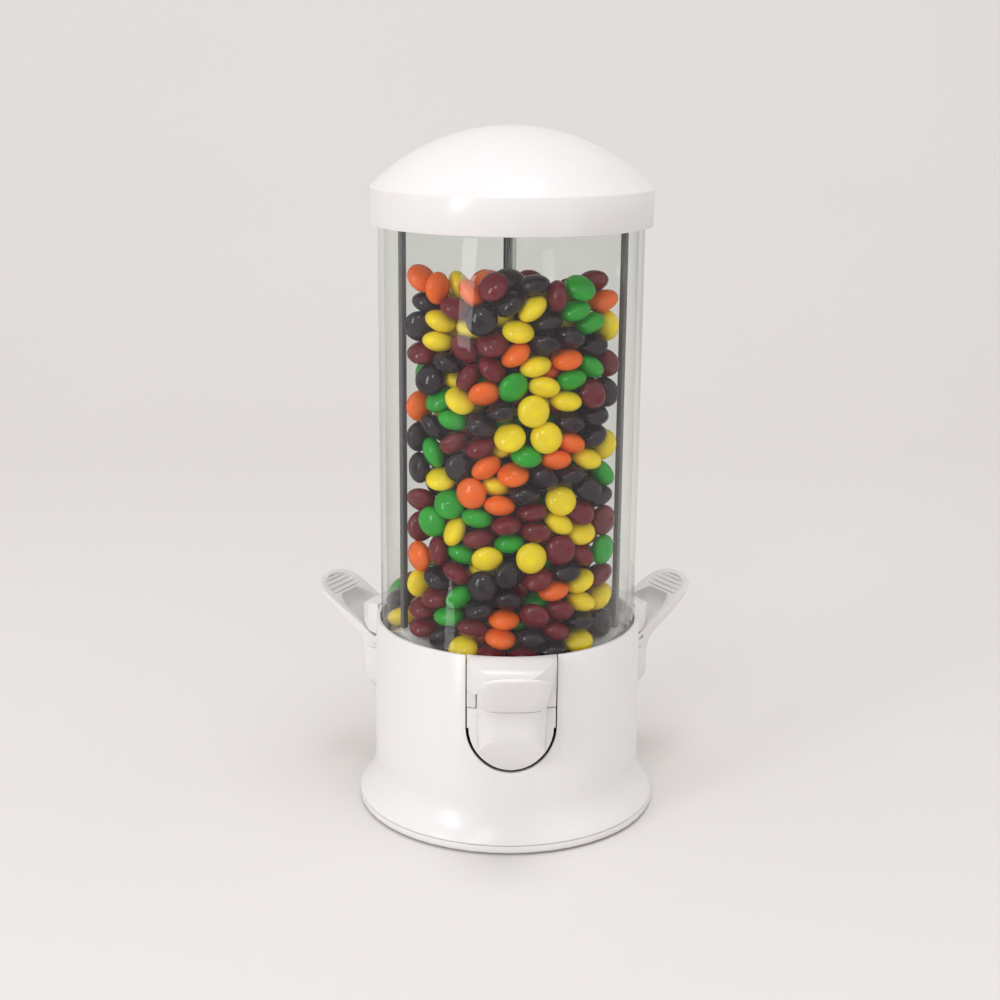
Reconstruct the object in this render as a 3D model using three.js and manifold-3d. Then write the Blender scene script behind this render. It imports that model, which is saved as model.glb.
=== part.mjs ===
// A counter-top sweet dispenser: three hopper chambers in one clear tube, each emptied by a tip-down lever.
// Millimetres, +Z up. The origin is on the surface it stands on, under the middle; the front spout faces -Y.
// "Outward" is the distance from the middle towards a spout, "across" the distance to either side of it.
import * as THREE from "three";
import { mergeVertices } from "three/addons/utils/BufferGeometryUtils.js";
import Module from "manifold-3d";

const wasm = await Module();
wasm.setup();

const GAP = 0.3; // left between pieces that touch
const ROUND = 48; // segments round the large circles
const SMALL_ROUND = 16; // segments round screws and pins
const SPOUTS = [0, 120, 240]; // degrees about +Z, from -Y towards +X
const WALLS = [60, 180, 300]; // where the dividers and the base columns stand

const tube = { radius: 57, wall: 2.5, bottom: 82, top: 272 };
const shell = { rim: 59.2, waist: 60, foot: 67.2, wall: 1.7, top: 86.9, bottom: 4.7, coveTop: 24.5 };
const slot = { half: 19.5, arcHeight: 54.5 };
const plate = { top: 4.4, bottom: 0.8, edge: 1.0 };
const pad = { radius: 48.3, thickness: 1.9 };
const column = { out: 55.2, radius: 3.9, top: 73.7, holeTop: 18 };
const screw = { radius: 1.5, head: 3, headTop: 2.3, headBottom: 1.1, top: 16.5 };
const floor = { apex: 100, slope: 0.444, thickness: 2.6, bottom: 74, radius: 54.2, skirt: 2.4 };
const ledge = { radius: 57.1, clear: 23.3 };
const divider = { thickness: 1.6, top: 262, post: 2.2 };
const rail = { width: 3.2, depth: 2.2, lip: 0.5 };
const lid = { radius: 60.6, bottom: 262.1, skirtTop: 277.6, top: 303, wall: 1.8, shoulder: 274.8 };
const pivot = { out: 52, height: 68, pin: 1.5, reach: 18.2 };
const panel = { half: 19, outer: 59.3, inner: 57.3, flangeHalf: 22.5, flangeInner: 55.2, flangeOuter: 57.2 };
const ear = { bottom: 64, inner: 15.2, top: 72.5 };
const mouth = { half: 9.5, noseHalf: 11.2, top: 81.8 };
const apron = { outer: 59.4, inner: 57.6, half: 18.9, arc: 18.2, top: 63.6 };
const step = { height: 63.6, gap: 0.7, depth: 0.7 }; // the fine step on each side of the lever's nose
const trough = { out: 61.7, height: 69.3, tilt: 32.7, length: 42, half: 14.8, wall: 2.4, tipLength: 12 };
const spring = { radius: 2.7, wire: 0.35, start: 8.9, pitch: 0.85, turns: 3.5 };

const radians = THREE.MathUtils.degToRad;

const plastic = new THREE.MeshStandardMaterial({ color: 0xf3f1ee, roughness: 0.3, metalness: 0 });
const clear = new THREE.MeshStandardMaterial({ color: 0xdfe6e0, roughness: 0.05, metalness: 0 });
const smoky = new THREE.MeshStandardMaterial({ color: 0x5c5a63, roughness: 0.3, metalness: 0 });
const steel = new THREE.MeshStandardMaterial({ color: 0xb8babd, roughness: 0.3, metalness: 1 });
const rubber = new THREE.MeshStandardMaterial({ color: 0xd9d9d6, roughness: 0.7, metalness: 0 });

// ---- outlines ----

// Points along a circle's arc, angles in degrees, anticlockwise from the first axis.
function arc(x, y, radius, from, to, steps) {
  return Array.from({ length: steps + 1 }, (_, i) => {
    const angle = radians(from + ((to - from) * i) / steps);
    return [x + radius * Math.cos(angle), y + radius * Math.sin(angle)];
  });
}

// The outline of a slot open at the top, with a half-round bottom.
function uOutline(half, arcHeight, radius, top) {
  return [[half, top], [-half, top], [-half, arcHeight], ...arc(0, arcHeight, radius, 180, 360, 20), [half, arcHeight]];
}

// ---- geometries ----

// A profile of [radius, height] points, anticlockwise, turned about +Z.
function turned(profile, segments = ROUND) {
  const points = profile.map(([radius, height]) => new THREE.Vector2(radius, height));
  return new THREE.LatheGeometry(points, segments).rotateX(Math.PI / 2);
}

function extruded(outline, depth) {
  const shape = new THREE.Shape(outline.map(([x, y]) => new THREE.Vector2(x, y)));
  return new THREE.ExtrudeGeometry(shape, { depth, bevelEnabled: false });
}

// A plan outline of [x, y] points, raised from one height to another.
function raised(outline, low, high) {
  return extruded(outline, high - low).translate(0, 0, low);
}

// A side outline of [outward, height] points, thickened from one place across to another.
function across(outline, from, to) {
  const sideways = new THREE.Matrix4().makeBasis(
    new THREE.Vector3(0, -1, 0),
    new THREE.Vector3(0, 0, 1),
    new THREE.Vector3(-1, 0, 0),
  );
  return extruded(outline, to - from).applyMatrix4(sideways).translate(to, 0, 0);
}

// A front outline of [across, height] points, thickened outward.
function facing(outline, from, to) {
  const forwards = new THREE.Matrix4().makeBasis(
    new THREE.Vector3(1, 0, 0),
    new THREE.Vector3(0, 0, 1),
    new THREE.Vector3(0, -1, 0),
  );
  return extruded(outline, to - from).applyMatrix4(forwards).translate(0, -from, 0);
}

function box(half, outFrom, outTo, low, high) {
  return across([[outFrom, low], [outTo, low], [outTo, high], [outFrom, high]], -half, half);
}

function cylinderAcross(radius, from, to, segments = SMALL_ROUND) {
  return across(arc(pivot.out, pivot.height, radius, 0, 360 - 360 / segments, segments - 1), from, to);
}

function ring(inner, outer, low, high) {
  return turned([[inner, low], [outer, low], [outer, high], [inner, high], [inner, low]]);
}

function disc(radius, low, high, segments = ROUND) {
  return turned([[0, low], [radius, low], [radius, high], [0, high]], segments);
}

// ---- solids ----

function solid(geometry) {
  geometry.deleteAttribute("normal");
  geometry.deleteAttribute("uv");
  const merged = mergeVertices(geometry, 1e-3);
  return new wasm.Manifold(
    new wasm.Mesh({
      numProp: 3,
      vertProperties: merged.attributes.position.array,
      triVerts: new Uint32Array(merged.index.array),
    }),
  );
}

function join(...geometries) {
  return geometries.map(solid).reduce((whole, part) => whole.add(part));
}

function cut(whole, ...geometries) {
  return geometries.map(solid).reduce((left, part) => left.subtract(part), whole);
}

function mesh(name, shape, material) {
  const { vertProperties, triVerts } = shape.getMesh();
  const geometry = new THREE.BufferGeometry();
  geometry.setAttribute("position", new THREE.BufferAttribute(vertProperties, 3));
  geometry.setIndex(new THREE.BufferAttribute(triVerts, 1));
  geometry.computeVertexNormals();
  const made = new THREE.Mesh(geometry, material);
  made.name = name;
  return made;
}

// ---- base ----

// The concave sweep at the foot of the base, from the waist down to the foot, set in by some wall.
function cove(inset) {
  const low = 5.4;
  const steps = 7;
  return Array.from({ length: steps + 1 }, (_, i) => {
    const height = low + ((shell.coveTop - low) * i) / steps;
    const share = (shell.coveTop - height) / (shell.coveTop - low);
    return [shell.waist + (shell.foot - shell.waist) * share ** 2.5 - inset, height];
  });
}

function baseShell() {
  const inset = 2.1;
  const profile = [
    [shell.foot - inset, shell.bottom],
    [shell.foot, shell.bottom],
    ...cove(0),
    [shell.rim + 0.3, 60],
    [shell.rim, shell.top],
    [shell.rim - shell.wall, shell.top],
    [shell.rim - shell.wall, 60],
    ...cove(inset).reverse(),
    [shell.foot - inset, shell.bottom],
  ];
  let made = solid(turned(profile));
  for (const azimuth of WALLS) {
    const post = disc(column.radius, shell.bottom, column.top, 24);
    const hole = disc(screw.radius + GAP, 0, column.holeTop, SMALL_ROUND);
    made = made.add(solid(post.translate(0, -column.out, 0).rotateZ(radians(azimuth))));
    made = cut(made, hole.translate(0, -column.out, 0).rotateZ(radians(azimuth)));
  }
  const opening = uOutline(slot.half, slot.arcHeight, slot.half, shell.top + 5);
  return cut(made, ...SPOUTS.map((azimuth) => facing(opening, 40, 75).rotateZ(radians(azimuth))));
}

function basePlate() {
  const recess = pad.radius + GAP;
  const lip = { inner: 62, outer: 63.6, top: 6.8 };
  const profile = [
    [0, pad.thickness + GAP],
    [recess, pad.thickness + GAP],
    [recess, plate.bottom],
    [shell.foot - plate.edge, plate.bottom],
    [shell.foot, plate.bottom + plate.edge],
    [shell.foot, plate.top],
    [lip.outer, plate.top],
    [lip.outer, lip.top],
    [lip.inner, lip.top],
    [lip.inner, plate.top],
    [0, plate.top],
  ];
  const holes = WALLS.flatMap((azimuth) =>
    [
      disc(screw.radius + GAP, 0, plate.top + 1, SMALL_ROUND),
      disc(screw.head + GAP, 0, screw.headTop + GAP, SMALL_ROUND),
    ].map((hole) => hole.translate(0, -column.out, 0).rotateZ(radians(azimuth))),
  );
  return cut(solid(turned(profile)), ...holes);
}

function baseScrew() {
  const profile = [
    [0, screw.headBottom],
    [screw.head, screw.headBottom],
    [screw.head, screw.headTop],
    [screw.radius, screw.headTop],
    [screw.radius, screw.top - 1.5],
    [0, screw.top],
  ];
  const crossSlot = [box(0.4, -2, 2, 0, screw.headBottom + 0.7), box(2, -0.4, 0.4, 0, screw.headBottom + 0.7)];
  return cut(solid(turned(profile, SMALL_ROUND)), ...crossSlot);
}

// ---- hopper ----

// Everything above the three planes that fall from the apex towards the spouts, the apex lowered by some drop.
function aboveFloor(drop) {
  const reach = 80;
  const height = (out) => floor.apex - drop - floor.slope * out;
  const outline = [[-reach, height(-reach)], [reach, height(reach)], [reach, 200], [-reach, 200]];
  return SPOUTS.map((azimuth) => across(outline, -reach, reach).rotateZ(radians(azimuth)));
}

function hopperFloor() {
  const roof = cut(solid(disc(floor.radius, floor.bottom, floor.apex + 1)), ...aboveFloor(0));
  const under = cut(
    solid(disc(floor.radius - floor.skirt, floor.bottom - 1, floor.apex)),
    ...aboveFloor(floor.thickness),
  );
  const shelf = cut(
    solid(ring(floor.radius - 0.2, ledge.radius, floor.bottom, tube.bottom - GAP)),
    ...SPOUTS.map((azimuth) => box(ledge.clear, 30, 60, 70, 90).rotateZ(radians(azimuth))),
  );
  return roof.subtract(under).add(shelf);
}

function tubeWall() {
  return solid(ring(tube.radius - tube.wall, tube.radius, tube.bottom, tube.top));
}

// How high a divider's foot is at some radius: just over the ridge between two of the floor's planes.
function ridgeHeight(radius) {
  return floor.apex - (floor.slope * radius) / 2 + 1.2;
}

// A divider stands on the ridge between two of the floor's planes.
function dividerPlate() {
  const inner = divider.post + GAP;
  const outer = tube.radius - tube.wall - 2 * GAP - rail.lip;
  const outline = [
    [inner, ridgeHeight(inner)],
    [outer, ridgeHeight(outer)],
    [outer, divider.top],
    [inner, divider.top],
  ];
  return solid(across(outline, -divider.thickness / 2, divider.thickness / 2));
}

// The upright channel that holds a divider's outer edge against the tube.
function dividerRail() {
  const outer = tube.radius - tube.wall - GAP;
  const inner = outer - rail.depth;
  const channel = divider.thickness / 2 + 0.25;
  const block = [[inner, ridgeHeight(inner)], [outer, ridgeHeight(outer)], [outer, divider.top], [inner, divider.top]];
  return cut(
    solid(across(block, -rail.width / 2, rail.width / 2)),
    box(channel, inner - 1, outer - rail.lip, floor.bottom, divider.top + 1),
  );
}

function dividerPost() {
  return solid(disc(divider.post, floor.apex + GAP, divider.top, 24));
}

// ---- lid ----

// The side of a dome that is part of a sphere, from its rim up to its top.
function dome(rim, low, rise, steps = 12) {
  const sphere = (rim * rim + rise * rise) / (2 * rise);
  const rimAngle = THREE.MathUtils.radToDeg(Math.acos(rim / sphere));
  const side = arc(0, low + rise - sphere, sphere, rimAngle, 90, steps);
  return side.map(([x, y], i) => [i === steps ? 0 : x, y]);
}

function lidCover() {
  const inner = lid.radius - lid.wall;
  const shoulder = inner - 2.6;
  const outside = dome(lid.radius - 0.6, lid.skirtTop + 0.4, lid.top - lid.skirtTop - 0.4);
  const inside = dome(shoulder, lid.shoulder + 1, lid.top - lid.wall - lid.shoulder - 1, 6).reverse();
  return solid(
    turned([
      ...inside,
      [shoulder, lid.shoulder],
      [inner, lid.shoulder],
      [inner, lid.bottom],
      [lid.radius, lid.bottom],
      [lid.radius, lid.skirtTop],
      ...outside,
    ]),
  );
}

// The soft ring under the lid: it plugs the tube and its flange rests on the tube's rim.
function lidSeal() {
  const plug = tube.radius - tube.wall - 0.5;
  const flange = { low: tube.top + GAP, high: lid.shoulder - GAP, radius: lid.radius - lid.wall - GAP };
  return solid(
    turned([
      [plug - 2.2, lid.bottom + 0.6],
      [plug, lid.bottom + 0.6],
      [plug, flange.low],
      [flange.radius, flange.low],
      [flange.radius, flange.high],
      [plug - 2.2, flange.high],
      [plug - 2.2, lid.bottom + 0.6],
    ]),
  );
}

// ---- spouts ----

// A closed skin through rings of [x, y, z] points, each ring of the same count.
function skinned(rings) {
  const count = rings[0].length;
  const indices = [];
  for (let row = 0; row + 1 < rings.length; row += 1) {
    for (let i = 0; i < count; i += 1) {
      const a = row * count + i;
      const b = row * count + ((i + 1) % count);
      indices.push(a, a + count, b, b, a + count, b + count);
    }
  }
  const last = (rings.length - 1) * count;
  for (let i = 1; i + 1 < count; i += 1) {
    indices.push(0, i, i + 1);
    indices.push(last, last + i + 1, last + i);
  }
  const geometry = new THREE.BufferGeometry();
  geometry.setAttribute("position", new THREE.Float32BufferAttribute(rings.flat(2), 3));
  return geometry.setIndex(indices);
}

// Half a rounded square of unit half width and height: [sideways, rise] from one foot over to the other.
function halfRound(roundness, steps) {
  return Array.from({ length: steps + 1 }, (_, i) => {
    const angle = (Math.PI * i) / steps;
    const side = Math.sign(Math.cos(angle)) * Math.abs(Math.cos(angle)) ** roundness;
    return [side, i === 0 || i === steps ? 0 : Math.sin(angle) ** roundness];
  });
}

// The plan of the hood: as wide as its panel, then drawn in to a rounded nose.
function hoodPlan(nose) {
  const half = [];
  const steps = 12;
  for (let i = 0; i <= steps; i += 1) {
    const share = i / steps;
    const width = panel.half - (panel.half - mouth.noseHalf - 1.2) * share;
    half.push([width * (1 - share ** 5) ** (1 / 3), 57.5 + (nose - 57.5) * share]);
  }
  const right = half.slice(0, -1).map(([x, out]) => [x, -out]);
  const left = half.slice(0, -1).reverse().map(([x, out]) => [-x, -out]);
  return [[panel.half, -54], ...right, [0, -nose], ...left, [-panel.half, -54]];
}

function spoutFrame() {
  const nose = 72.6;
  const hoodSide = [
    [57.4, ear.top],
    [64.2, ear.top],
    [nose, 77.4],
    ...arc(nose - 6.6, 78.7, 6.6, 0, 90, 6),
    [62, 86.4],
    [59.3, 86.9],
    [57.4, 86.9],
  ];
  const noseSide = [[60, 67.2], [nose, 73.2], [nose, 80], [60, 80]];
  const cavity = [[45, 60], [70.8, 60], [70.8, 77.5], ...arc(65, 76, 5.8, 15, 90, 4), [45, mouth.top]];
  const hood = solid(across(hoodSide, -panel.half, panel.half));
  const lip = solid(across(noseSide, -mouth.noseHalf, mouth.noseHalf));
  const swelling = hood.add(lip).intersect(solid(raised(hoodPlan(nose), 60, 95)));
  const wall = solid(ring(panel.inner, panel.outer, ear.bottom, shell.top)).intersect(
    solid(box(panel.half, 40, 65, 60, 90)),
  );
  const backing = solid(ring(panel.flangeInner, panel.inner + 0.1, ear.top, tube.bottom - 0.6)).intersect(
    solid(box(panel.half, 40, 65, 60, 90)),
  );
  const flange = solid(ring(panel.flangeInner, panel.flangeOuter, ear.top, tube.bottom - 0.6)).intersect(
    solid(box(panel.flangeHalf, 40, 65, 60, 90)),
  );
  const lugs = [-1, 1].map((side) =>
    solid(cylinderAcross(3.8, Math.min(side * ear.inner, side * 18.6), Math.max(side * ear.inner, side * 18.6), 24)),
  );
  const plain = cut(wall.add(backing).add(flange), box(ear.inner, 40, 65, 60, ear.top));
  const joined = plain.add(swelling).add(lugs[0]).add(lugs[1]);
  return cut(joined, across(cavity, -mouth.half, mouth.half), cylinderAcross(pivot.pin + GAP, -20, 20));
}

// A place on the trough, given along its rim from the inner end, square to the rim and across.
function onTrough(along, above, sideways) {
  const tilt = radians(trough.tilt);
  const out = trough.out + along * Math.cos(tilt) - above * Math.sin(tilt);
  const height = trough.height + along * Math.sin(tilt) + above * Math.cos(tilt);
  return [sideways, -out, height];
}

// A boat shape under the trough's rim plane, lofted through [along, half width, depth] stations.
function boat(stations, above = 0, roundness = 0.62) {
  const rings = stations.map(([along, half, depth]) =>
    halfRound(roundness, 12).map(([side, drop]) => onTrough(along, above - (depth + above) * drop, half * side)),
  );
  return skinned(rings);
}

// Half width of the trough's outline at a place along it, set in by some margin, with a rounded tip.
function troughHalf(along, margin = 0) {
  const start = trough.length - trough.tipLength;
  const share = Math.min(1, Math.max(0, (along - start) / (trough.tipLength - margin)));
  return (trough.half - margin) * (1 - share ** 2.3) ** (1 / 2.3);
}

// The lever before its hollows are cut: trough, nose, the apron that closes the slot, and the arms to its pin.
function leverBlank() {
  const tipPlaces = [30, 33, 36, 38.4, 40.2, 41.3, 41.8];
  const depthAt = (along) => 8.6 - 7.4 * (Math.max(0, along - 6) / (trough.length - 6)) ** 1.8;
  const hullPlaces = [-1.5, 8, 14, 19, 23, 27, ...tipPlaces];
  const hull = solid(boat(hullPlaces.map((along) => [along, troughHalf(along), depthAt(along)])));
  const noseFront = 72.2;
  const noseSide = [
    [apron.inner, 36.4],
    [59.5, 36.4],
    [noseFront, 55],
    [85, 55],
    [85, 69.6],
    [66, 69.6],
    [62, 65.6],
    [60.4, 65.6],
    [60.4, apron.top],
    [apron.inner, apron.top],
  ];
  const squared = (value) => Math.sign(value) * Math.abs(value) ** 0.55;
  const fronts = [[70, 78.4], [68.8, 76.9], [67, 75], [64.5, 73.4], [61.5, 72.5], [58, noseFront], [30, noseFront]];
  const rings = fronts.map(([height, front]) =>
    arc(0, 0, 1, 0, 350, 35).map(([x, y]) => [trough.half * squared(x), -58 + (front - 58) * squared(y), height]),
  );
  const column = solid(across(noseSide, -trough.half, trough.half)).intersect(solid(skinned(rings)));
  const filled = solid(facing(uOutline(apron.half, slot.arcHeight, apron.arc, 80), 40, 80));
  const bowl = arc(0, 0, 1, 180, 360, 24).map(([x, y]) => [(trough.half + 0.1) * x, 55.5 + 18.6 * y]);
  const rounded = solid(facing([...bowl, [15.5, 58], [15.5, 80], [-15.5, 80], [-15.5, 58]], 40, 90));
  const skirt = solid(ring(apron.inner, apron.outer, 30, apron.top)).intersect(filled);
  const nose = column.intersect(rounded);
  const arm = [...arc(pivot.out, pivot.height, 3.4, 95, 265, 12), [60.8, 63.8], [62.6, 69.7]];
  const arms = [-1, 1].map((side) => {
    const places = [side * trough.half, side * (trough.half - trough.wall)].sort((a, b) => a - b);
    return solid(across(arm, ...places));
  });
  return hull.add(nose).add(skirt).add(arms[0]).add(arms[1]);
}

// The hollow that holds the sweets, the thumb rest's shallow dish, and the way through for the pin.
function leverCuts() {
  const inner = trough.half - trough.wall;
  const pocket = solid(
    boat(
      [[-2.2, inner, 8], [4, inner, 6], [8, inner, 5], [16, inner, 5], [21, inner - 0.8, 5], [24, inner - 2.4, 4.6],
       [26.5, inner - 4, 2.4], [28, inner - 4.6, 0.6]],
      3,
      0.5,
    ),
  );
  const keepOut = solid(box(20, 30, 59.8, 30, 90));
  const dish = solid(
    boat([29, 32, 34.5, 36.8, 38.4, 39.6].map((along) => [along, troughHalf(along, 2.2), 0.9]), 2),
  );
  return { pocket: pocket.subtract(keepOut), dish };
}

// Low bars across the thumb rest.
function thumbBars() {
  return [30.4, 33, 35.6, 38].map((along) => {
    const outline = [[-0.7, -1.4], [0.7, -1.4], [0.45, -0.15], [-0.45, -0.15]].map(([shift, above]) => {
      const [, out, height] = onTrough(along + shift, above, 0);
      return [-out, height];
    });
    const half = troughHalf(along, 2.2) + 0.3;
    return solid(across(outline, -half, half));
  });
}

function leverBody() {
  const { pocket, dish } = leverCuts();
  const blank = leverBlank().subtract(pocket).subtract(dish);
  const shaped = thumbBars().reduce((whole, bar) => whole.add(bar), blank);
  const clearance = trough.half - trough.wall;
  const grooves = [-1, 1].map((side) => {
    const places = [side * 25, side * (trough.half - step.depth)].sort((a, b) => a - b);
    const outline = [[61, step.height], [80, step.height], [80, step.height + step.gap], [61, step.height + step.gap]];
    return across(outline, ...places);
  });
  return cut(
    shaped,
    cylinderAcross(pivot.pin + GAP, -20, 20),
    cylinderAcross(4, -clearance, clearance, 24),
    ...grooves,
  );
}

function pivotPin() {
  return solid(cylinderAcross(pivot.pin, -pivot.reach, pivot.reach));
}

// A torsion spring round the pin, one leg under the frame and the other against the chute.
function returnSpring() {
  const place = (x, out, height) => new THREE.Vector3(x, -out, height);
  const points = [place(spring.start, pivot.out + 3.6, pivot.height + 3.6)];
  const steps = Math.round(spring.turns * 8);
  for (let i = 0; i <= steps; i += 1) {
    const turn = (spring.turns * i) / steps;
    const angle = Math.PI / 2 + turn * 2 * Math.PI;
    const x = spring.start + spring.pitch * turn;
    points.push(
      place(x, pivot.out + spring.radius * Math.cos(angle), pivot.height + spring.radius * Math.sin(angle)),
    );
  }
  points.push(place(spring.start + spring.pitch * spring.turns, pivot.out + 6.8, pivot.height - 2.2));
  const path = new THREE.CatmullRomCurve3(points, false, "centripetal");
  const wire = new THREE.Shape(arc(0, 0, spring.wire, 0, 300, 5).map(([x, y]) => new THREE.Vector2(x, y)));
  return solid(new THREE.ExtrudeGeometry(wire, { steps: steps + 6, bevelEnabled: false, extrudePath: path }));
}

// ---- assembly ----

const dispenser = new THREE.Group();
dispenser.add(
  mesh("base_shell", baseShell(), plastic),
  mesh("base_plate", basePlate(), plastic),
  mesh("grip_pad", solid(disc(pad.radius, 0, pad.thickness)), rubber),
  mesh("hopper_floor", hopperFloor(), plastic),
  mesh("hopper_tube", tubeWall(), clear),
  mesh("divider_post", dividerPost(), smoky),
  mesh("lid_cover", lidCover(), plastic),
  mesh("lid_seal", lidSeal(), rubber),
);

WALLS.forEach((azimuth, index) => {
  const place = new THREE.Group();
  place.rotation.z = radians(azimuth);
  const fastener = mesh(`base_screw_${index + 1}`, baseScrew(), steel);
  fastener.position.y = -column.out;
  place.add(
    mesh(`divider_${index + 1}`, dividerPlate(), clear),
    mesh(`divider_rail_${index + 1}`, dividerRail(), smoky),
    fastener,
  );
  dispenser.add(place);
});

SPOUTS.forEach((azimuth, index) => {
  const number = index + 1;
  const place = new THREE.Group();
  place.rotation.z = radians(azimuth);
  place.add(
    mesh(`spout_frame_${number}`, spoutFrame(), plastic),
    mesh(`lever_${number}`, leverBody(), plastic),
    mesh(`pivot_pin_${number}`, pivotPin(), steel),
    mesh(`return_spring_${number}`, returnSpring(), steel),
  );
  dispenser.add(place);
});

export default dispenser;
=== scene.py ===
"""The sweet dispenser's looks: materials on the CAD nodes, settled sweets, light and camera."""

import math
import random

import bmesh
import bpy
from mathutils import Euler, Matrix, Vector


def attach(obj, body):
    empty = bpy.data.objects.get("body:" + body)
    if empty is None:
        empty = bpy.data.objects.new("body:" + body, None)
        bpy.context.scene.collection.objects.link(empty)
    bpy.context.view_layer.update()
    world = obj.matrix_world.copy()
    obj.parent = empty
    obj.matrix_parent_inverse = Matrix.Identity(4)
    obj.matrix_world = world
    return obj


MM = 0.001
TUBE_INNER = 54.5 * MM
FLOOR_APEX = 100 * MM
FLOOR_SLOPE = 0.444
CHAMBER_FOOT = 70 * MM
CHAMBER_TOP = 262 * MM
DIVIDER_HALF = 1.1 * MM  # half a divider's thickness, and some room for the rail at its outer edge
SWEET_RADIUS = 6.75 * MM
SWEET_HALF_HEIGHT = 4.25 * MM
FILLS = (360, 26)  # sweets dropped into the front chamber and into the back left one
FRONT_SEED = 7
BACK_SEED = 11
COLOUR_SEED = 3
PLASTIC_EDGE = 0.35 * MM
STEEL_EDGE = 0.15 * MM

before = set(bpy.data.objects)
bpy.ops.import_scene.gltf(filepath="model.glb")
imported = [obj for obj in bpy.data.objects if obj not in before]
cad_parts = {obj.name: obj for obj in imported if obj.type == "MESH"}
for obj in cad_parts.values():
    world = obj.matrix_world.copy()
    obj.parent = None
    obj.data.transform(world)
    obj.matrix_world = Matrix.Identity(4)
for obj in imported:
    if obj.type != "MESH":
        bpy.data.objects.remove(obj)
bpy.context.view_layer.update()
scene = bpy.context.scene


# ---- camera ----


def make_camera():
    """The photograph's viewpoint: a little above the dispenser and nearly square to spout 1."""
    heading = math.radians(1.8)
    pitch = math.radians(-14.72)
    roll = 0.0087
    forward = Vector(
        (
            math.sin(heading) * math.cos(pitch),
            math.cos(heading) * math.cos(pitch),
            math.sin(pitch),
        )
    )
    right = Vector((math.cos(heading), -math.sin(heading), 0))
    up = right.cross(forward)
    turned_right = math.cos(roll) * right + math.sin(roll) * up
    turned_up = math.cos(roll) * up - math.sin(roll) * right
    data = bpy.data.cameras.new("camera")
    data.lens = 60.58
    data.sensor_width = 36
    data.clip_start = 0.01
    camera = bpy.data.objects.new("camera", data)
    axes = Matrix((turned_right, turned_up, -forward)).transposed()
    place = Vector((-26.6, -723.9, 330.2)) * MM
    camera.matrix_world = Matrix.Translation(place) @ axes.to_4x4()
    scene.collection.objects.link(camera)
    scene.camera = camera


# ---- materials ----


def new_material(name):
    material = bpy.data.materials.new(name)
    material.use_nodes = True
    tree = material.node_tree
    return material, tree, tree.nodes["Principled BSDF"]


def add_noise(tree, scale, detail=3.0):
    """Noise laid out in the object's own coordinates."""
    place = tree.nodes.new("ShaderNodeTexCoord")
    noise = tree.nodes.new("ShaderNodeTexNoise")
    noise.inputs["Scale"].default_value = scale
    noise.inputs["Detail"].default_value = detail
    tree.links.new(place.outputs["Object"], noise.inputs["Vector"])
    return noise


def add_range(tree, noise, low, high):
    """The noise mapped to run from low to high."""
    mapped = tree.nodes.new("ShaderNodeMapRange")
    mapped.inputs["From Min"].default_value = 0.3
    mapped.inputs["From Max"].default_value = 0.7
    mapped.inputs["To Min"].default_value = low
    mapped.inputs["To Max"].default_value = high
    tree.links.new(noise.outputs["Fac"], mapped.inputs["Value"])
    return mapped.outputs["Result"]


def add_bump(tree, shader, height, strength, distance):
    bump = tree.nodes.new("ShaderNodeBump")
    bump.inputs["Strength"].default_value = strength
    bump.inputs["Distance"].default_value = distance
    tree.links.new(height, bump.inputs["Height"])
    tree.links.new(bump.outputs["Normal"], shader.inputs["Normal"])


def tint_by_noise(tree, shader, noise, first, second):
    """Base colour that drifts between two close colours."""
    mix = tree.nodes.new("ShaderNodeMix")
    mix.data_type = "RGBA"
    mix.inputs["A"].default_value = (*first, 1)
    mix.inputs["B"].default_value = (*second, 1)
    tree.links.new(add_range(tree, noise, 0, 1), mix.inputs["Factor"])
    tree.links.new(mix.outputs["Result"], shader.inputs["Base Color"])


def moulded_white():
    """Glossy white moulded plastic with a faint ripple from the tool and handling marks in its gloss."""
    material, tree, shader = new_material("white_plastic")
    tint_by_noise(
        tree, shader, add_noise(tree, 9), (0.775, 0.755, 0.76), (0.79, 0.77, 0.775)
    )
    tree.links.new(
        add_range(tree, add_noise(tree, 60, 5), 0.22, 0.27), shader.inputs["Roughness"]
    )
    add_bump(tree, shader, add_noise(tree, 420, 1).outputs["Fac"], 0.05, 0.0002)
    shader.inputs["IOR"].default_value = 1.5
    shader.inputs["Subsurface Weight"].default_value = 0.08
    shader.inputs["Subsurface Scale"].default_value = 0.002
    return material


def clear_plastic(name, tint, gloss):
    """Thin clear plastic: it tints what is behind it and mirrors more towards its edges."""
    material, tree, shader = new_material(name)
    tree.nodes.remove(shader)
    through = tree.nodes.new("ShaderNodeBsdfTransparent")
    through.inputs["Color"].default_value = (*tint, 1)
    mirror = tree.nodes.new("ShaderNodeBsdfGlossy")
    blur = add_range(tree, add_noise(tree, 25, 4), 0.01, 0.04)
    tree.links.new(blur, mirror.inputs["Roughness"])
    facing = tree.nodes.new("ShaderNodeLayerWeight")
    facing.inputs["Blend"].default_value = 0.5
    steep = tree.nodes.new("ShaderNodeMath")
    steep.operation = "POWER"
    steep.inputs[1].default_value = 4.5
    tree.links.new(facing.outputs["Facing"], steep.inputs[0])
    share = tree.nodes.new("ShaderNodeMapRange")
    share.inputs["To Min"].default_value = gloss
    share.inputs["To Max"].default_value = 0.75
    tree.links.new(steep.outputs["Value"], share.inputs["Value"])
    mix = tree.nodes.new("ShaderNodeMixShader")
    tree.links.new(share.outputs["Result"], mix.inputs["Fac"])
    tree.links.new(through.outputs["BSDF"], mix.inputs[1])
    tree.links.new(mirror.outputs["BSDF"], mix.inputs[2])
    tree.links.new(mix.outputs["Shader"], tree.nodes["Material Output"].inputs["Surface"])
    return material


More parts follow.
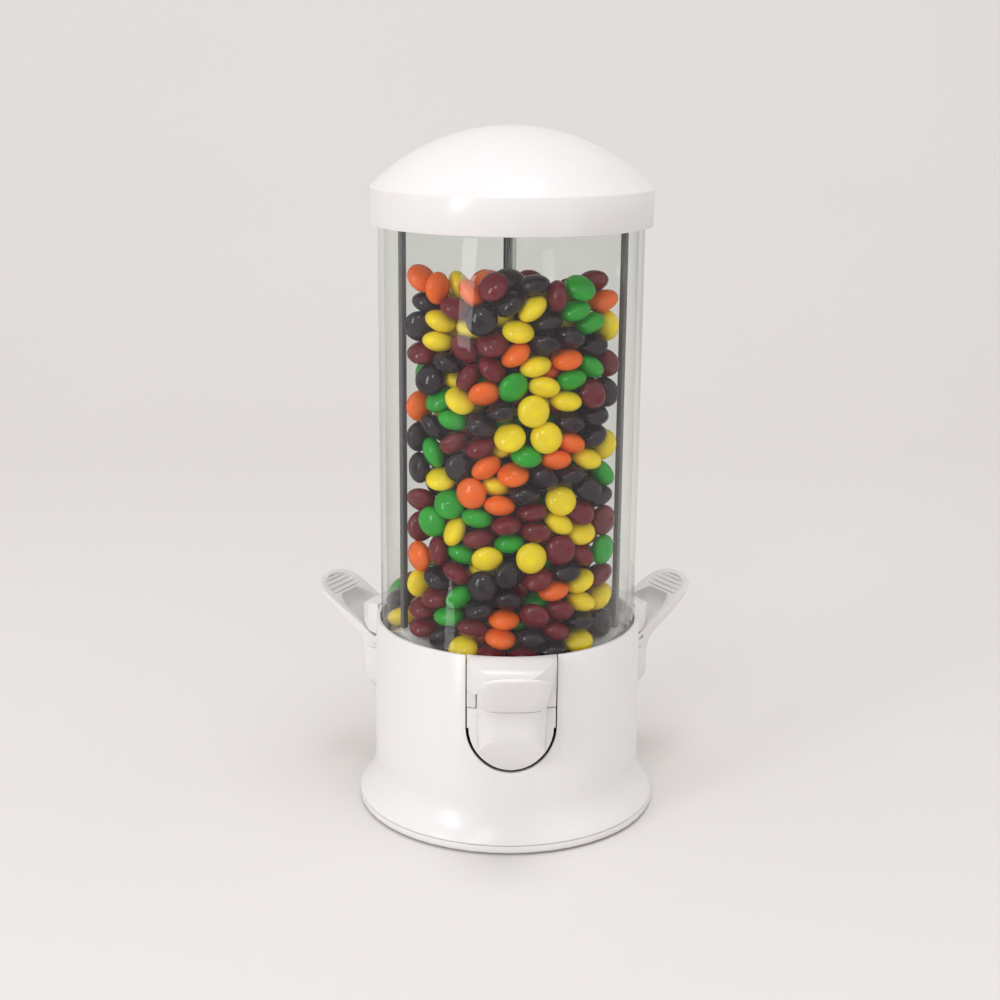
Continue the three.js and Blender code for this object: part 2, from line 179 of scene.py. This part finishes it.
def smoky_plastic():
    """Dark grey plastic that lets a little light through."""
    material, tree, shader = new_material("smoky_plastic")
    noise = add_noise(tree, 60, 3)
    tint_by_noise(tree, shader, noise, (0.08, 0.078, 0.09), (0.1, 0.098, 0.11))
    tree.links.new(add_range(tree, noise, 0.18, 0.28), shader.inputs["Roughness"])
    shader.inputs["Transmission Weight"].default_value = 0.25
    return material


def soft_rubber():
    material, tree, shader = new_material("soft_seal")
    noise = add_noise(tree, 350, 4)
    tint_by_noise(tree, shader, noise, (0.7, 0.7, 0.68), (0.76, 0.76, 0.74))
    tree.links.new(add_range(tree, noise, 0.55, 0.75), shader.inputs["Roughness"])
    add_bump(tree, shader, noise.outputs["Fac"], 0.3, 0.0002)
    return material


def plain_steel():
    material, tree, shader = new_material("steel")
    noise = add_noise(tree, 500, 2)
    tint_by_noise(tree, shader, noise, (0.55, 0.56, 0.57), (0.66, 0.67, 0.68))
    tree.links.new(add_range(tree, noise, 0.2, 0.4), shader.inputs["Roughness"])
    shader.inputs["Metallic"].default_value = 1
    return material


def sugar_shell(name, colour, deep):
    """A sweet's sugar shell: glossy, a little blotchy, with a fine orange-peel surface."""
    material, tree, shader = new_material(name)
    tint_by_noise(tree, shader, add_noise(tree, 140, 3), colour, deep)
    tree.links.new(
        add_range(tree, add_noise(tree, 300, 3), 0.16, 0.24), shader.inputs["Roughness"]
    )
    add_bump(tree, shader, add_noise(tree, 700, 2).outputs["Fac"], 0.08, 0.0002)
    shader.inputs["Specular IOR Level"].default_value = 0.12
    shader.inputs["Coat Weight"].default_value = 0.6
    shader.inputs["Coat Roughness"].default_value = 0.06
    return material


def dress_cad_nodes():
    """Gives each CAD node its material and eases its sharp edges."""
    white = moulded_white()
    soft = soft_rubber()
    by_kind = {
        "hopper_tube": clear_plastic("clear_tube", (0.975, 0.985, 0.975), 0.022),
        "divider": clear_plastic("clear_divider", (0.93, 0.935, 0.935), 0.02),
        "divider_post": clear_plastic("clear_post", (0.72, 0.73, 0.73), 0.03),
        "divider_rail": smoky_plastic(),
        "grip_pad": soft,
        "lid_seal": soft,
    }
    steel = plain_steel()
    for name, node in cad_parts.items():
        kind = name.rstrip("0123456789").rstrip("_")
        material = by_kind.get(kind, white)
        if kind in ("base_screw", "pivot_pin", "return_spring"):
            material = steel
        node.data.materials.clear()
        node.data.materials.append(material)
        ease_edges(node, STEEL_EDGE if material is steel else PLASTIC_EDGE)


def ease_edges(node, width):
    """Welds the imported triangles, merges flat ones and rounds what is still sharp."""
    for face in node.data.polygons:
        face.use_smooth = True
    weld = node.modifiers.new("weld", "WELD")
    weld.merge_threshold = 0.00002
    flat = node.modifiers.new("flat", "DECIMATE")
    flat.decimate_type = "DISSOLVE"
    flat.angle_limit = math.radians(1.0)
    bevel = node.modifiers.new("bevel", "BEVEL")
    bevel.width = width
    bevel.segments = 2
    bevel.limit_method = "ANGLE"
    bevel.angle_limit = math.radians(38)
    bevel.harden_normals = True
    bevel.use_clamp_overlap = True


# ---- sweets ----

SIM_SCALE = 20  # Bullet settles large bodies more steadily than small ones
SIM_FRAMES = 110
HALF_SECTOR = 60  # degrees from a chamber's middle to its dividers
TUBE_FACETS = 13
FACETS_REACH = 66  # degrees to either side that the facets cover, so that they overlap the dividers
FIRST_LAYER = 112  # mm above the table
LAYER_GAP = 14.5
JITTER = 1.5


def sweet_mesh(name, columns, rows):
    """One lentil-shaped sweet, lying flat at the origin."""
    made = bmesh.new()
    bmesh.ops.create_uvsphere(made, u_segments=columns, v_segments=rows, radius=1)
    for vertex in made.verts:
        vertex.co.x *= SWEET_RADIUS
        vertex.co.y *= SWEET_RADIUS
        vertex.co.z *= SWEET_HALF_HEIGHT
    data = bpy.data.meshes.new(name)
    made.to_mesh(data)
    made.free()
    return data


def add_wall(name, place, size):
    """A thick block that holds the sweets in while they settle."""
    made = bmesh.new()
    bmesh.ops.create_cube(made, size=1)
    bmesh.ops.scale(made, vec=Vector(size) * SIM_SCALE, verts=made.verts)
    data = bpy.data.meshes.new(name)
    made.to_mesh(data)
    made.free()
    wall = bpy.data.objects.new(name, data)
    place = place.copy()
    place.translation *= SIM_SCALE
    wall.matrix_world = place
    scene.collection.objects.link(wall)
    return wall


def chamber_walls():
    """The floor, the two dividers and the tube's wall round one chamber, its spout towards -Y."""
    thick = 60 * MM
    tall = 1400 * MM
    walls = []
    tilt = math.atan(FLOOR_SLOPE)
    down = Matrix.Translation((0, 0, FLOOR_APEX)) @ Matrix.Rotation(tilt, 4, "X")
    walls.append(
        add_wall(
            "floor_block",
            down @ Matrix.Translation((0, 0, -thick / 2)),
            (0.3, 0.3, thick),
        )
    )
    for side in (-1, 1):
        turn = Matrix.Rotation(math.radians(HALF_SECTOR * side), 4, "Z")
        shift = Matrix.Translation(
            (side * (thick / 2 - DIVIDER_HALF), -0.05, tall / 2)
        )
        walls.append(
            add_wall(f"divider_block_{side}", turn @ shift, (thick, 0.2, tall))
        )
    for i in range(TUBE_FACETS):
        azimuth = math.radians(-FACETS_REACH + 2 * FACETS_REACH * i / (TUBE_FACETS - 1))
        turn = Matrix.Rotation(azimuth, 4, "Z")
        shift = Matrix.Translation((0, -(TUBE_INNER + thick / 2), tall / 2))
        walls.append(add_wall(f"tube_block_{i}", turn @ shift, (0.03, thick, tall)))
    return walls


def drop_sweets(count, rng):
    """Sweets in loose layers over the chamber, with random tilts."""
    shape = sweet_mesh("sweet_hull", 12, 8)
    shape.transform(Matrix.Scale(SIM_SCALE, 4))
    spots = [(0, 30), (-21, 25), (21, 25), (-9, 43), (9, 43), (0, 15), (-26, 39), (26, 39)]
    sweets = []
    for i in range(count):
        x, out = spots[i % len(spots)]
        layer = i // len(spots)
        place = Vector(
            (
                (x + rng.uniform(-JITTER, JITTER)) * MM,
                -(out + rng.uniform(-JITTER, JITTER)) * MM,
                (FIRST_LAYER + LAYER_GAP * layer) * MM,
            )
        )
        turn = Euler([rng.uniform(0, 2 * math.pi) for _ in range(3)])
        sweet = bpy.data.objects.new(f"sweet_{i}", shape)
        sweet.matrix_world = Matrix.Translation(place * SIM_SCALE) @ turn.to_matrix().to_4x4()
        scene.collection.objects.link(sweet)
        sweets.append(sweet)
    return sweets


def make_rigid(objects, kind, shape):
    bpy.ops.object.select_all(action="DESELECT")
    for each in objects:
        each.select_set(True)
    bpy.context.view_layer.objects.active = objects[0]
    bpy.ops.rigidbody.objects_add(type=kind)
    for each in objects:
        body = each.rigid_body
        body.collision_shape = shape
        body.use_margin = True
        body.collision_margin = 0.001
        body.friction = 0.35
        body.restitution = 0.05
        body.linear_damping = 0.08
        body.angular_damping = 0.2


def settle(count, seed):
    """Lets sweets fall into one chamber and returns where each one comes to rest, in metres."""
    rng = random.Random(seed)
    walls = chamber_walls()
    sweets = drop_sweets(count, rng)
    bpy.ops.rigidbody.world_add()
    world = scene.rigidbody_world
    world.substeps_per_frame = 10
    world.solver_iterations = 15
    make_rigid(walls, "PASSIVE", "BOX")
    make_rigid(sweets, "ACTIVE", "CONVEX_HULL")
    world.point_cache.frame_start = 1
    world.point_cache.frame_end = SIM_FRAMES
    for number in range(1, SIM_FRAMES + 1):
        scene.frame_set(number)
    graph = bpy.context.evaluated_depsgraph_get()
    places = []
    for sweet in sweets:
        place = sweet.evaluated_get(graph).matrix_world.copy()
        spot = place.translation / SIM_SCALE
        places.append(Matrix.Translation(spot) @ place.to_3x3().normalized().to_4x4())
    scene.frame_set(1)
    bpy.ops.rigidbody.world_remove()
    for each in walls + sweets:
        bpy.data.objects.remove(each)
    return places


def in_chamber(place):
    """True where a settled sweet is inside its chamber, under the lid."""
    spot = place.translation
    inside = math.hypot(spot.x, spot.y) < TUBE_INNER - SWEET_HALF_HEIGHT * 0.8
    return inside and spot.y < 0 and CHAMBER_FOOT < spot.z < CHAMBER_TOP


def make_sweets():
    """The heap of sweets in the front chamber and the few left at the bottom of the back left one."""
    looks = {
        "yellow": ((0.9, 0.7, 0.004), (0.84, 0.6, 0.003), 22),
        "green": ((0.012, 0.36, 0.02), (0.008, 0.29, 0.015), 18),
        "orange": ((0.88, 0.14, 0.004), (0.82, 0.11, 0.003), 14),
        "red": ((0.17, 0.002, 0.015), (0.12, 0.002, 0.01), 20),
        "purple": ((0.018, 0.004, 0.014), (0.011, 0.003, 0.009), 24),
    }
    full, few = FILLS
    fills = [(0, full, FRONT_SEED), (240, few, BACK_SEED)]
    rng = random.Random(COLOUR_SEED)
    shape = sweet_mesh("sweet_shape", 20, 14)
    spots = {colour: [] for colour in looks}
    for azimuth, count, seed in fills:
        turn = Matrix.Rotation(math.radians(azimuth), 4, "Z")
        for place in settle(count, seed):
            colour = rng.choices(list(looks), [look[2] for look in looks.values()])[0]
            if in_chamber(place):
                spots[colour].append(turn @ place)
    for colour, (main, deep, _) in looks.items():
        heap = bmesh.new()
        for place in spots[colour]:
            before = len(heap.verts)
            heap.from_mesh(shape)
            heap.verts.ensure_lookup_table()
            bmesh.ops.transform(heap, matrix=place, verts=heap.verts[before:])
        data = bpy.data.meshes.new(f"sweets_{colour}")
        heap.to_mesh(data)
        heap.free()
        for face in data.polygons:
            face.use_smooth = True
        piece = bpy.data.objects.new(f"sweets_{colour}", data)
        piece.data.materials.append(sugar_shell(f"sweet_{colour}", main, deep))
        scene.collection.objects.link(piece)
        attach(piece, "base")


# ---- stage and light ----


def make_stage():
    """A pale floor that sweeps up into a backdrop."""
    depth, height, radius, half = 1.6, 3.0, 0.9, 5.0
    profile = [(-3.0, 0.0), (depth - radius, 0.0)]
    steps = 24
    for i in range(1, steps + 1):
        angle = math.pi / 2 * i / steps
        profile.append(
            (
                depth - radius + radius * math.sin(angle),
                radius - radius * math.cos(angle),
            )
        )
    profile.append((depth, height))
    points = [(x, y, z) for x in (-half, half) for y, z in profile]
    count = len(profile)
    faces = [(i, i + count, i + count + 1, i + 1) for i in range(count - 1)]
    data = bpy.data.meshes.new("backdrop")
    data.from_pydata(points, [], faces)
    for face in data.polygons:
        face.use_smooth = True
    backdrop = bpy.data.objects.new("backdrop", data)
    material, tree, shader = new_material("backdrop")
    tint_by_noise(
        tree, shader, add_noise(tree, 1.5, 2), (0.745, 0.72, 0.705), (0.765, 0.74, 0.725)
    )
    shader.inputs["Roughness"].default_value = 0.6
    backdrop.data.materials.append(material)
    scene.collection.objects.link(backdrop)


def add_area(name, place, target, size, power):
    data = bpy.data.lights.new(name, "AREA")
    data.shape = "RECTANGLE"
    data.size, data.size_y = size
    data.energy = power
    light = bpy.data.objects.new(name, data)
    light.location = place
    aim = Vector(target) - Vector(place)
    light.rotation_euler = aim.to_track_quat("-Z", "Y").to_euler()
    scene.collection.objects.link(light)


def make_light():
    """Soft daylight all round, a tall window at the left, a fill from above and a small lamp at the front."""
    world = bpy.data.worlds.new("daylight")
    world.use_nodes = True
    sky = world.node_tree.nodes["Background"]
    sky.inputs["Color"].default_value = (1.0, 0.985, 0.97, 1)
    sky.inputs["Strength"].default_value = 0.86
    scene.world = world
    add_area("window", (-1.0, -0.93, 0.55), (0, 0, 0.35), (0.28, 0.8), 4.4)
    add_area("overhead", (0.1, -0.3, 1.9), (0, 0, 0), (0.7, 0.7), 8)
    add_area("lamp", (-0.38, -1.1, 1.05), (0, 0, 0.15), (0.24, 0.24), 1.3)
    scene.view_settings.view_transform = "Standard"


make_camera()
dress_cad_nodes()
make_sweets()
make_stage()
make_light()
